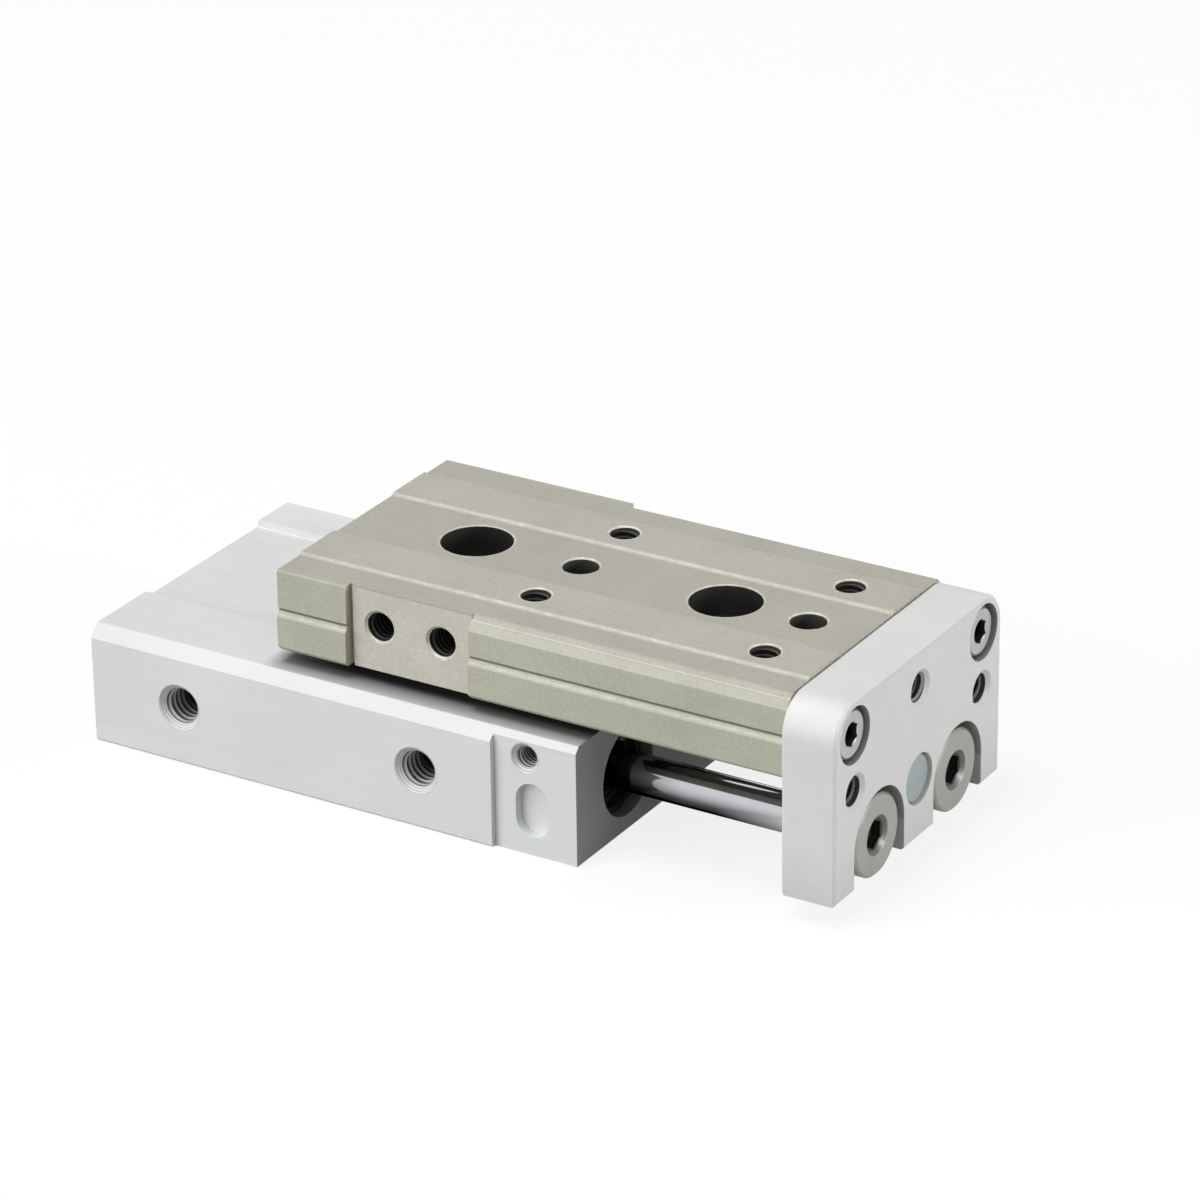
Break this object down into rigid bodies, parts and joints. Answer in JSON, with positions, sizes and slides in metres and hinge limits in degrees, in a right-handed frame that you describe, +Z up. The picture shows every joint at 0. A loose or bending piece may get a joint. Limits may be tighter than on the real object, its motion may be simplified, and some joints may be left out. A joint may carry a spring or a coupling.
{
  "type": "pneumatic slide table",
  "caption": "Compact twin-rod air slide: a flat aluminium cylinder body with a steel table that rolls on balls and an end plate tied to both rods.",
  "frame": {"origin": "centre of the cylinder body's flat underside", "axes": "+X the way the table runs out, towards the end plate; +Z up, out of the load face; -Y the side with the air ports"},
  "size_m": [0.0925, 0.04, 0.0253],
  "materials": {
    "body_anodised": "clear anodised, fine matte",
    "plate_anodised": "clear anodised, fine matte",
    "table_steel": "ground stainless, matte",
    "guide_steel": "ground",
    "ball_steel": "polished",
    "rod_chrome": "hard chrome, polished",
    "bolt_steel": "turned, satin",
    "screw_steel": "machined screw steel",
    "screw_black": "black oxide",
    "clip_steel": "spring steel",
    "piston_alloy": "turned",
    "stud_grey": "blue-grey plated, matte",
    "cover_resin": "moulded black resin",
    "guide_resin": "moulded black resin",
    "seal_rubber": "black rubber",
    "bumper_urethane": "blue urethane",
    "magnet_dark": "bonded magnet"
  },
  "bodies": {
    "body": {"cylinder_body": "body_anodised", "rod_cover_near": "cover_resin", "rod_cover_far": "cover_resin", "cover_o_rings": "seal_rubber", "rod_seals": "seal_rubber", "retaining_ring_near": "clip_steel", "retaining_ring_far": "clip_steel", "guide_block": "guide_steel", "guide_block_screws": "screw_black", "return_guide_front": "guide_resin", "return_guide_rear": "guide_resin", "return_guide_screws": "screw_steel", "ball_retainer_near": "guide_resin", "ball_retainer_far": "guide_resin", "guide_balls": "ball_steel"},
    "table": {"slide_table": "table_steel", "end_plate": "plate_anodised", "end_plate_screws": "screw_steel", "piston_rod_near": "rod_chrome", "piston_rod_far": "rod_chrome", "rod_bolt_near": "bolt_steel", "rod_bolt_far": "bolt_steel", "float_bush_near": "guide_steel", "float_bush_far": "guide_steel", "piston_near": "piston_alloy", "piston_far": "piston_alloy", "piston_seals": "seal_rubber", "piston_magnets": "magnet_dark", "rod_bumpers": "bumper_urethane", "bumper_stud": "stud_grey", "bumper_pad": "bumper_urethane"}
  },
  "joints": [
    {"name": "table_slide", "type": "slide", "parent": "body", "child": "table", "axis": [1, 0, 0], "range_m": [-0.02, 0]}
  ]
}
